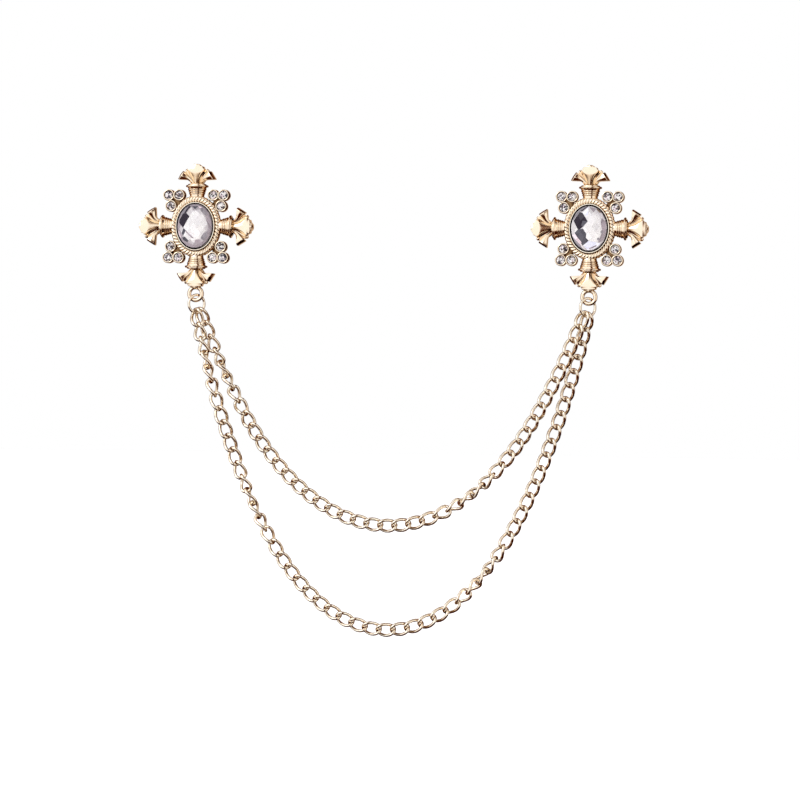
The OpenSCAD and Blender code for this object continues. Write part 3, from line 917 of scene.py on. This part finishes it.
RIGHT_LOOK = {
    "shift": 0.4,
    "rim": 0.4,
    "patches": (
        (
            "pewter",
            ((-4.0, 1.7), (-3.5, 2.7), (-1.7, 4.6), (-0.4, 5.1), (-0.3, 4.9), (-1.8, 3.9), (-3.5, 1.9)),
        ),
        (
            "night",
            ((-3.5, 1.7), (-2.0, 3.7), (-1.4, 3.5), (-0.6, 2.3), (-0.1, 1.5), (-1.2, 0.2), (-2.3, -0.5)),
        ),
        ("smoke", ((-1.3, 1.7), (-0.1, 1.5), (-1.2, 0.2), (-1.6, 0.6))),
        ("night", ((-1.9, 3.9), (-0.4, 5.0), (-0.2, 4.9), (-1.6, 3.7))),
        ("ice", ((-1.4, 3.5), (-0.1, 4.8), (-0.1, 3.2), (-0.4, 2.8))),
        ("lilac", ((0, 4.9), (1.8, 4.5), (1.6, 4.2), (1.1, 3.6))),
        ("bronze", ((1.7, 4.9), (1.9, 4.7), (2.8, 3.6), (2.5, 3.5), (1.8, 4.2))),
        (
            "lilac",
            (
                (3.0, 2.3),
                (3.8, 1.6),
                (4.0, -0.2),
                (3.9, -1.4),
                (3.2, -2.9),
                (2.2, -3.2),
                (3.1, -0.8),
                (2.8, 1.4),
            ),
        ),
        ("pewter", ((2.9, -0.4), (3.3, -0.7), (3.2, -1.2), (2.7, -1.0))),
        ("pewter", ((2.2, -2.1), (2.7, -2.4), (2.3, -2.8), (1.9, -2.5))),
        (
            "smoke",
            (
                (-2.4, -0.3),
                (-1.2, -0.1),
                (-0.4, -1.3),
                (-0.5, -2.2),
                (0.1, -2.8),
                (-0.9, -3.9),
                (-1.3, -4.0),
                (-3.2, -1.1),
            ),
        ),
        ("ice", ((-1.2, -3.9), (0.1, -2.9), (1.9, -3.2), (2.7, -3.5), (1.5, -4.5), (-0.2, -5.0))),
        ("lilac", ((0, -4.6), (1.9, -3.7), (1.7, -4.2), (0.3, -4.8))),
        ("blush", ((-3.1, -1.4), (-1.6, -3.2), (-1.9, -3.8), (-3.8, -1.6))),
        ("pewter", ((-3.8, -1.9), (-1.9, -3.8), (-1.3, -4.8), (-3.1, -3.8))),
    ),
}


def side_of(p, a, b):
    """Which side of the line from a to b a point lies on: above 0 is to the left."""
    return (b[0] - a[0]) * (p[1] - a[1]) - (b[1] - a[1]) * (p[0] - a[0])


def clip(polygon, a, b):
    """The part of a flat polygon to the left of the line from a to b."""
    kept = []
    for p, q in zip(polygon, polygon[1:] + polygon[:1]):
        dp, dq = side_of(p, a, b), side_of(q, a, b)
        if dp >= 0:
            kept.append(p)
        if (dp >= 0) != (dq >= 0):
            kept.append(p + (q - p) * dp / (dp - dq))
    return kept if len(kept) > 2 else []


def edges(outline):
    """Pairs of neighbouring points round an outline."""
    return zip(outline, np.roll(outline, -1, 0))


def clip_inside(polygon, outline):
    """The part of a flat polygon inside a bulging outline."""
    for a, b in edges(outline):
        polygon = clip(polygon, a, b)
        if not polygon:
            return []
    return polygon


def inside(p, outline):
    """Whether a point lies inside a flat outline."""
    crossings = 0
    for a, b in edges(outline):
        if (a[1] > p[1]) != (b[1] > p[1]) and p[0] < a[0] + (b[0] - a[0]) * (p[1] - a[1]) / (b[1] - a[1]):
            crossings += 1
    return crossings % 2 == 1


def flat_area(polygon):
    """Area of a flat polygon."""
    return abs(sum(side_of(q, polygon[0], p) for p, q in zip(polygon, polygon[1:]))) / 2 if polygon else 0


def cut_by_patches(polygon, patches):
    """A facet cut along the edges of the patches that cross it, each part with the number of its patch."""
    smallest = mm(0.04) ** 2
    parts = [(polygon, -1)] if polygon else []
    for number, outline in enumerate(patches):
        for a, b in edges(outline):
            low, high = np.minimum(a, b), np.maximum(a, b)
            cut = []
            for part, patch in parts:
                box = np.array(part)
                if (box.max(0) < low).any() or (box.min(0) > high).any():
                    cut.append((part, patch))
                    continue
                halves = clip(part, a, b), clip(part, b, a)
                cut += [(half, patch) for half in halves if flat_area(half) > smallest]
            parts = cut
        parts = [(part, number if inside(np.mean(part, 0), outline) else patch) for part, patch in parts]
    return parts


def paint_facets(piece, tones):
    """Stores each facet's painted reflection on the mesh as its colour."""
    attribute = piece.data.color_attributes.new("facet_tone", "FLOAT_COLOR", "CORNER")
    for polygon, tone in zip(piece.data.polygons, tones):
        for k in polygon.loop_indices:
            attribute.data[k].color = (*tone, 1)


def facet_plane(points):
    """A flat facet's plane: its height at the middle of the drawing and its two slopes."""
    a = np.array([[1, p[0], p[1]] for p in points])
    b = np.array([p[2] for p in points])
    return np.linalg.lstsq(a, b, rcond=None)[0]


def stone_shape(look, side):
    """Oval stone with a dome of diamond facets and a row of edge facets, and the reflection painted on each
    facet.
    """
    s = settings("stones")
    shape = Shape()
    tones = []
    wide, tall = s.facet_width, s.facet_height
    rx, ry = s.width / 2, s.height / 2
    seat = settings("casting").plate + s.gap
    top = seat + s.rise
    fall = s.dome / rx**2
    shift = mm(look["shift"])
    words = [word for word, _ in look["patches"]]
    outlines = [np.array(outline) * mm(1) for _, outline in look["patches"]]
    clear, lilac = np.array(s.clear), np.array(s.lilac)
    rng = np.random.default_rng(OVAL_SEED + side)
    crown, count = 0.98, 48
    rim = oval_points(rx * crown, ry * crown, count)
    girdle = oval_points(rx, ry, count)
    lilac_start, lilac_reach = 0.58, 0.3
    last_column, last_row = 6, 7

    def height_at(x, y):
        """Height of the dome."""
        return top - fall * (x * x + (y * rx / ry) ** 2)

    for column in range(-last_column, last_column + 1):
        for row in range(-last_row, last_row + 1):
            if (column + row) % 2:
                continue
            x, y = column * wide, row * tall
            corners = [
                np.array([x + across * wide, y + up * tall + shift])
                for across, up in ((-1, 0), (0, -1), (1, 0), (0, 1))
            ]
            low, lean_x, lean_y = facet_plane([(p[0], p[1], height_at(p[0], p[1] - shift)) for p in corners])
            for part, patch in cut_by_patches(clip_inside(corners, rim), outlines):
                spot = np.mean(part, 0)
                if patch < 0:
                    outward = math.hypot(spot[0] / rx, spot[1] / ry)
                    at_rim = look["rim"] * ease((outward - lilac_start) / lilac_reach)
                    tone = clear + (lilac - clear) * at_rim
                    glint = rng.uniform(0.84, 1.06)
                else:
                    tone = np.array(getattr(s, words[patch]))
                    glint = rng.uniform(0.8, 1.2)
                points = [(p[0], p[1], low + lean_x * p[0] + lean_y * p[1]) for p in part]
                shape.add(points, [tuple(range(len(part)))])
                tones.append(np.clip(tone * glint, 0, 1))
    edge = seat + s.rise * 0.42
    points = [(p[0], p[1], height_at(p[0], p[1] - shift) - mm(0.02)) for p in rim]
    for share_of, height in ((1, edge + mm(0.25)), (1, edge), (0.92, seat)):
        points += [(p[0] * share_of, p[1] * share_of, height) for p in girdle]
    faces = grid_faces(4, count)
    shape.add(points, faces)
    # Painted reflections round the edge: a lilac that waxes and wanes round the rim, and the dark of night on
    # the girdle.
    tones += [lilac * (0.6 + 0.35 * math.sin(math.tau * (i / count + 0.1))) for i in range(count)]
    tones += [np.array(s.night)] * (len(faces) - count)
    return shape, tones


def gem_shape(middle, rng):
    """Small round brilliant with a table, star, kite and girdle facets, and the reflection painted on each
    facet.
    """
    s = settings("stones")
    seat = settings("casting").plate + s.gap
    radius = s.gem / 2
    top, crown, girdle = seat + s.gem_rise, seat + s.gem_rise * 0.88, seat + s.gem_rise * 0.64
    sides = 8
    rim = 2 * sides
    spin = rng.uniform(0, math.tau / sides)
    points = []
    # Rings of points. Columns: share of the radius, height, turn in steps, number of points.
    for reach, height, turn, count in (
        (0.52, top, 0, sides),
        (0.74, crown, 0.5, sides),
        (1, girdle, 0, rim),
        (1, girdle - mm(0.12), 0, rim),
    ):
        for k in range(count):
            angle = spin + (k + turn) * math.tau / count
            x = middle[0] + radius * reach * math.cos(angle)
            y = middle[1] + radius * reach * math.sin(angle)
            points.append((x, y, height))
    point, table = len(points), len(points) + 1
    points += [(middle[0], middle[1], seat), (middle[0], middle[1], top)]
    faces = [(k, (k + 1) % sides, table) for k in range(sides)]
    for k in range(sides):
        star = sides + k
        last_star = sides + (k - 1) % sides
        upper = rim + 2 * k
        faces.append((k, star, (k + 1) % sides))
        faces.append((k, last_star, upper, star))
        faces.append((star, upper, upper + 1))
        faces.append((star, upper + 1, rim + (2 * k + 2) % rim))
    for k in range(rim):
        upper, lower = rim, 2 * rim
        n = (k + 1) % rim
        faces.append((upper + k, lower + k, lower + n, upper + n))
        faces.append((lower + k, point, lower + n))
    shape = Shape()
    shape.add(points, faces)
    # Painted reflections: each facet takes one of these tones at random.
    choices = [s.clear] * 4 + [s.blush, s.smoke, s.lilac, s.bronze, s.smoke, s.night]
    tones = [np.array(choices[rng.integers(len(choices))]) * rng.uniform(0.8, 1.1) for _ in faces]
    return shape, [np.clip(t, 0, 1) for t in tones]


class LAPEL_OT_stones(bpy.types.Operator):
    """Cuts the oval stones and the small round stones"""

    bl_idname = "lapel.stones"
    bl_label = "Cut stones"

    def execute(self, context):
        oval_glass = [facet_finish("oval_glass", 0.5)]
        gem_glass = [facet_finish("gem_glass", 0.3)]
        for side, name in enumerate(SIDES):
            shape, tones = stone_shape((LEFT_LOOK, RIGHT_LOOK)[side], side)
            node = [f"{name}_centre_stone"]
            piece = make_piece(
                f"{name}_oval_stone", stood(shape, side), oval_glass, node, sharp=0
            )
            paint_facets(piece, tones)
            rng = np.random.default_rng(GEM_SEED + side)
            places = [(x * cup[0], y * cup[1]) for x, y in CORNERS for cup in cup_places()]
            for number, middle in enumerate(places, 1):
                shape, tones = gem_shape(middle, rng)
                node = [f"{name}_stone_{number:02d}"]
                piece = make_piece(
                    f"{name}_gem_{number:02d}", stood(shape, side), gem_glass, node, sharp=0
                )
                paint_facets(piece, tones)
        return {"FINISHED"}


# Where each chain turns half round, as shares of its length
TURNS = {"inner": (0.116, 0.647), "outer": (0.075, 0.261, 0.643)}


def ease(x):
    """A soft step from 0 to 1."""
    c = min(max(x, 0), 1)
    return c * c * (3 - 2 * c)


def read_table(table, place):
    """A value between the softly joined rows of a table."""
    number = sum(place >= row[0] for row in table[1:-1])
    (a, low), (b, high) = table[number : number + 2]
    return low + (high - low) * ease((place - a) / (b - a))


def ring_radius():
    """Radius of a jump ring's middle line."""
    return span_of("left_jump_ring", 2) / 2 - settings("chains").ring_wire / 2


def ring_way():
    """Level direction that the left jump ring lies along."""
    turn = settings("chains").ring_turn
    return np.array([math.cos(turn), math.sin(turn), 0])


def hook(lean, pitch):
    """Point of a chain's end on the left ring. lean is in radians from straight down."""
    s = settings("chains")
    reach = ring_radius() - ((s.link_length - pitch) / 2 + s.seat_gap)
    return np.array(LEFT_RING) + reach * (math.sin(lean) * ring_way() - math.cos(lean) * Z_WAY)


class HangingCurve:
    """The way of one hanging chain, at equal steps of one link."""

    def __init__(self, which):
        s = settings("chains")
        self.eye_y = BACK_Y - settings("casting").eye_height
        step = math.asin(s.hook_step / 2 / ring_radius())
        pull = math.radians(12)
        inner_pitch = s.pitch - s.inner_slack
        inner, outer = hook(pull + step, inner_pitch), hook(pull - step, s.pitch)
        if which == "inner":
            self.links, self.pitch, self.start, own_side = s.inner_links, inner_pitch, inner, 1
        else:
            self.links, self.pitch, self.start, own_side = s.outer_links, s.pitch, outer, -1
        self.turns = TURNS[which]
        side = (inner[1] + outer[1]) / 2 - self.eye_y + own_side * s.bow
        begin = self.start[1] - self.eye_y
        # How far the way lies behind the eyes. Columns: links from the nearer end, depth.
        bow = ((0, begin), (1.55, side), (6, side), (10, 0))
        self.bow = bow + tuple((self.links - place, -depth) for place, depth in reversed(bow))
        self.half = self.links * self.pitch / 2
        self.middle = (LEFT_STONE.x + RIGHT_STONE.x) / 2
        half_span = self.middle - self.start[0]
        # Halving finds the catenary whose length is the chain's
        low, high, halvings = mm(1), mm(500), 50
        for _ in range(halvings):
            self.size = (low + high) / 2
            if self.size * math.sinh(half_span / self.size) > self.half:
                low = self.size
            else:
                high = self.size

    def point(self, place):
        """A point of the way, at a number of links from the left end."""
        way = place * self.pitch - self.half
        across = self.middle + self.size * math.asinh(way / self.size)
        up = self.start[2] + math.hypot(self.size, way) - math.hypot(self.size, self.half)
        return np.array([across, self.eye_y + read_table(self.bow, place), up])

    def turned(self, place):
        """How far the chain has turned at a place, in radians."""
        span = settings("chains").turn_links
        return -math.pi * sum(min(max((place - t * self.links) / span + 0.5, 0), 1) for t in self.turns)


def link_shape():
    """One link: a wire loop bent into a saddle, so that it lies across its neighbours."""
    s = settings("chains")
    width, long = s.link_width - s.wire, s.link_length
    saddle = width / 4
    link = Shape()
    wire_loop(
        link,
        lambda t: np.array([math.sin(t) * width / 2, -saddle * math.sin(2 * t), math.cos(t) * long / 2]),
        lambda t: unit(np.array([math.cos(t) * width, -4 * saddle * math.cos(2 * t), -math.sin(t) * long])),
        lambda t: np.array([math.sin(t), 0, math.cos(t)]),
        rings=48,
        sides=12,
        radius=s.wire / 2,
        seam=0.25,
    )
    return link


def chain_shape(which):
    """All links of one chain."""
    curve = HangingCurve(which)
    link = link_shape()
    shape = Shape()
    for k in range(curve.links):
        start, end = curve.point(k), curve.point(k + 1)
        up = unit(start - end)
        back = unit(Y_WAY - up * up[1])
        across = np.cross(back, up)
        turn = curve.turned(k + 0.5)
        x_way = math.cos(turn) * across + math.sin(turn) * back
        y_way = math.cos(turn) * back - math.sin(turn) * across
        axes = np.stack([x_way, y_way, up])
        middle = (start + end) / 2
        shape.join(link, lambda points, axes=axes, middle=middle: middle + points @ axes)
    return shape


class LAPEL_OT_chains(bpy.types.Operator):
    """Builds the two hanging curb chains"""

    bl_idname = "lapel.chains"
    bl_label = "Curb chains"

    def execute(self, context):
        metals = [gold("wire_gold")]
        for which in TURNS:
            node = [f"{which}_chain"]
            make_piece(f"{which}_curb_chain", chain_shape(which), metals, node, sharp=60)
        return {"FINISHED"}


class LAPEL_OT_rings(bpy.types.Operator):
    """Builds the jump rings that join the chains to the eyes"""

    bl_idname = "lapel.rings"
    bl_label = "Jump rings"

    def execute(self, context):
        s = settings("chains")
        for name in SIDES:
            node = f"{name}_jump_ring"
            shape = Shape()
            round_loop(
                shape,
                np.array(centre_of(node)),
                ring_radius(),
                ring_way(),
                Z_WAY,
                rings=72,
                sides=18,
                wire=s.ring_wire / 2,
                seam=0.0417,
            )
            make_piece(f"{name}_ring", shape, [gold("wire_gold")], [node], sharp=60)
        return {"FINISHED"}


def box_shape(shape, low, high, bevel):
    """A block with softened edges, between two corners."""
    outline = [(low[0], low[1]), (high[0], low[1]), (high[0], high[1]), (low[0], high[1])]
    cut = []
    for i, p in enumerate(outline):
        for q in (outline[i - 1], outline[(i + 1) % 4]):
            gap = math.dist(p, q)
            cut.append((p[0] + (q[0] - p[0]) * bevel / gap, p[1] + (q[1] - p[1]) * bevel / gap))
    slab(shape, cut, low[2], high[2], bevel)


def rod(shape, start, end, radii):
    """A straight level turned rod. radii are (share of the way, radius) pairs."""
    start, end, count = np.array(start), np.array(end), 24
    way = unit(end - start)
    side = unit(np.cross(way, Z_WAY))
    other = np.cross(way, side)
    points = []
    for place, radius in radii:
        points += circle(start + (end - start) * place, side, other, radius, count)
    shape.add(points, grid_faces(len(radii), count))


def pin_shape():
    """Bar, hinge, stem and catch, drawn flat behind the plate."""
    s = settings("pins")
    shape = Shape()
    half, wire = s.stem / 2, s.stem_wire / 2
    front = -settings("stones").gap
    back = front - s.bar_wall
    far, sunk, soft = -s.back - s.stem_wire, back + mm(0.1), mm(0.08)
    box_shape(shape, (-half, -s.bar_width / 2, back), (half, s.bar_width / 2, front), mm(0.12))
    lug = mm(0.45)
    for hand in (-1, 1):
        outer = hand * s.bar_width * 0.4
        low, high = sorted((outer, outer - hand * lug))
        box_shape(shape, (-half, low, far), (-half + s.catch, high, sunk), soft)
    hinge = -half + s.catch * 0.5
    reach = s.bar_width * 0.44
    axle = ((0, wire * 0.7), (0.03, wire), (0.97, wire), (1, wire * 0.7))
    rod(shape, (hinge, -reach, -s.back), (hinge, reach, -s.back), axle)
    stem = ((0, wire * 0.8), (0.01, wire), (0.88, wire), (0.94, wire * 0.8), (0.98, wire * 0.45))
    stem += ((1, wire * 0.12),)
    rod(shape, (hinge - wire, 0, -s.back), (half + s.stem_wire * 1.55, 0, -s.back), stem)
    catch, side, wall = half - s.catch, s.bar_width * 0.3, mm(0.32)
    box_shape(shape, (catch, -side, far), (half, -side + wall, sunk), soft)
    box_shape(shape, (catch, -side, far), (half, side, far + wall), soft)
    return shape


class LAPEL_OT_pins(bpy.types.Operator):
    """Builds the hidden pins behind the crosses"""

    bl_idname = "lapel.pins"
    bl_label = "Pins"

    def execute(self, context):
        brass = [brass_finish()]
        for side, name in enumerate(SIDES):
            node = [f"{name}_pin"]
            make_piece(f"{name}_pin_set", stood(pin_shape(), side), brass, node, sharp=35)
        return {"FINISHED"}


# The camera of the reference view, in metres and radians, and its sensor in millimetres
CAMERA_AZIMUTH = math.radians(9.9)
CAMERA_DISTANCE = 0.85
CAMERA_TARGET = (0.04863, -0.004, -0.03968)
CAMERA_ROLL = math.radians(0.8)
CAMERA_VIEW_WIDTH = 0.18409
SENSOR_WIDTH = 36


def soft_light(name, place, target, size, radiance, colour):
    """A square soft light. radiance is the brightness that a mirror sees in it."""
    light = bpy.data.lights.new(name, "AREA")
    light.shape = "RECTANGLE"
    light.size, light.size_y = size
    light.energy = radiance * math.pi * size[0] * size[1]
    light.color = colour
    holder = placed(name, light)
    holder.location = place
    way = Vector(target) - Vector(place)
    holder.rotation_euler = way.to_track_quat("-Z", "Y").to_euler()
    holder.visible_camera = False


# The studio that the metal mirrors. Columns: place from left (0) to right (1), brightness.
STUDIO_ACROSS = ((0, 1), (0.57, 1.03), (0.61, 0.95), (0.64, 0.2), (0.665, 0.025), (0.755, 0.025))
STUDIO_ACROSS += ((0.79, 0.7), (0.84, 1), (0.94, 0.85), (1, 0.9))
# Columns: place from straight down (0) to straight up (1), share of that brightness.
STUDIO_UP = ((0, 0.1), (0.05, 0.025), (0.26, 0.025), (0.3, 0.7), (0.34, 1.1), (0.9, 1.1), (1, 1))
# Columns: place from the viewer's side (0) to behind the chain (1), share of that brightness.
STUDIO_DEEP = ((0, 1.01), (0.47, 1.01), (0.57, 0.62), (0.64, 0.06), (0.965, 0.06), (0.985, 0.5))
# How the mirrored light turns golden and then brown as it darkens: a power for red, green and blue
STUDIO_TINT = (0.78, 1.3, 1.95)


def paint_world():
    """White backdrop for the eye, and a studio with light and dark sides for the metal to mirror."""
    world = bpy.data.worlds.new("studio")
    bpy.context.scene.world = world
    made = Nodes(world, "ShaderNodeOutputWorld")
    place = made.add("ShaderNodeTexCoord").outputs["Generated"]
    level = None
    for way, stops in ((X_WAY, STUDIO_ACROSS), (Z_WAY, STUDIO_UP), (Y_WAY, STUDIO_DEEP)):
        along = made.add("ShaderNodeVectorMath", operation="DOT_PRODUCT")
        made.put(along.inputs[0], place)
        made.put(along.inputs[1], way)
        share_of = made.spread(along.outputs["Value"], 0, 1, -1, 1)
        tones = [(spot, [brightness**power for power in STUDIO_TINT]) for spot, brightness in stops]
        tone = made.ramp(share_of, tones)
        level = tone if level is None else made.mix("MULTIPLY", 1, level, tone)
    room = made.add("ShaderNodeBackground")
    made.put(room.inputs["Color"], level)
    white = made.add("ShaderNodeBackground")
    made.put(white.inputs["Color"], (1, 1, 1))
    seen = made.add("ShaderNodeMixShader")
    seen_directly = made.add("ShaderNodeLightPath").outputs["Is Camera Ray"]
    for socket, value in zip(seen.inputs, (seen_directly, room.outputs[0], white.outputs[0])):
        made.put(socket, value)
    made.put(made.out.inputs["Surface"], seen.outputs[0])


def pale_floor():
    """A plain pale round floor just under the outer chain."""
    made = Surface("pale_floor")
    look = {
        "Base Color": (0.92, 0.92, 0.92),
        "Roughness": made.spread(made.noise(30), 0.85, 0.95),
        "Emission Color": (1, 1, 1),
        "Emission Strength": 0.75,
    }
    mesh = bpy.data.meshes.new("floor")
    drop, radius = mm(3), 3
    low = CAD_BOX[0].z - drop
    edge = [(p[0] + CAMERA_TARGET[0], p[1], low) for p in oval_points(radius, radius, 96)]
    mesh.from_pydata(edge, [], [tuple(range(len(edge)))])
    mesh.materials.append(made.painted(look))
    floor = placed("floor", mesh)
    floor.visible_glossy = False


def photo_camera():
    """The camera at the reference view."""
    camera = bpy.data.cameras.new("camera")
    camera.sensor_width = SENSOR_WIDTH
    camera.lens = SENSOR_WIDTH * CAMERA_DISTANCE / CAMERA_VIEW_WIDTH
    holder = placed("camera", camera)
    away = Vector((math.sin(CAMERA_AZIMUTH), -math.cos(CAMERA_AZIMUTH), 0))
    holder.location = Vector(CAMERA_TARGET) + away * CAMERA_DISTANCE
    facing = (-away).to_track_quat("-Z", "Y")
    holder.rotation_euler = (facing @ Euler((0, 0, CAMERA_ROLL)).to_quaternion()).to_euler()
    bpy.context.scene.camera = holder


class LAPEL_OT_stage(bpy.types.Operator):
    """Sets the pale floor, the soft studio light and the camera"""

    bl_idname = "lapel.stage"
    bl_label = "Stage"

    def execute(self, context):
        context.scene.view_settings.view_transform = "Standard"
        photo_camera()
        paint_world()
        pale_floor()
        middle = (CAMERA_TARGET[0], 0, CAMERA_TARGET[2])
        place, warm_white = (-0.45, -0.6, 0.4), (1, 0.99, 0.96)
        soft_light("key_softbox", place, middle, size=(0.3, 0.3), radiance=3.0, colour=warm_white)
        return {"FINISHED"}


class LAPEL_PT_panel(bpy.types.Panel):
    """Lists the pieces of the lapel chain"""

    bl_idname = "LAPEL_PT_panel"
    bl_label = "Lapel chain"
    bl_space_type = "VIEW_3D"
    bl_region_type = "UI"
    bl_category = "Lapel chain"

    def draw(self, context):
        for operator in OPERATORS:
            self.layout.operator(operator.bl_idname)
        for group in GROUPS:
            box = self.layout.box()
            box.label(text=group.__doc__)
            values = getattr(context.scene, GROUPS[group])
            for key in group.__annotations__:
                box.prop(values, key)


OPERATORS = (
    LAPEL_OT_stage,
    LAPEL_OT_castings,
    LAPEL_OT_borders,
    LAPEL_OT_stones,
    LAPEL_OT_chains,
    LAPEL_OT_rings,
    LAPEL_OT_pins,
)
GROUPS = {
    LapelCastingSizes: "lapel_casting",
    LapelStoneSizes: "lapel_stones",
    LapelChainSizes: "lapel_chains",
    LapelPinSizes: "lapel_pins",
    LapelFinishes: "lapel_finishes",
}


def register():
    """Registers the classes and their settings."""
    for group, name in GROUPS.items():
        bpy.utils.register_class(group)
        setattr(bpy.types.Scene, name, bpy.props.PointerProperty(type=group))
    for kind in (*OPERATORS, LAPEL_PT_panel):
        bpy.utils.register_class(kind)


def unregister():
    """Takes the classes and their settings away again."""
    for kind in reversed((*OPERATORS, LAPEL_PT_panel)):
        bpy.utils.unregister_class(kind)
    for group, name in reversed(list(GROUPS.items())):
        delattr(bpy.types.Scene, name)
        bpy.utils.unregister_class(group)


def main():
    register()
    bpy.ops.lapel.stage()
    bpy.ops.lapel.castings()
    bpy.ops.lapel.borders()
    bpy.ops.lapel.stones()
    bpy.ops.lapel.chains()
    bpy.ops.lapel.rings()
    bpy.ops.lapel.pins()


if __name__ == "__main__":
    main()
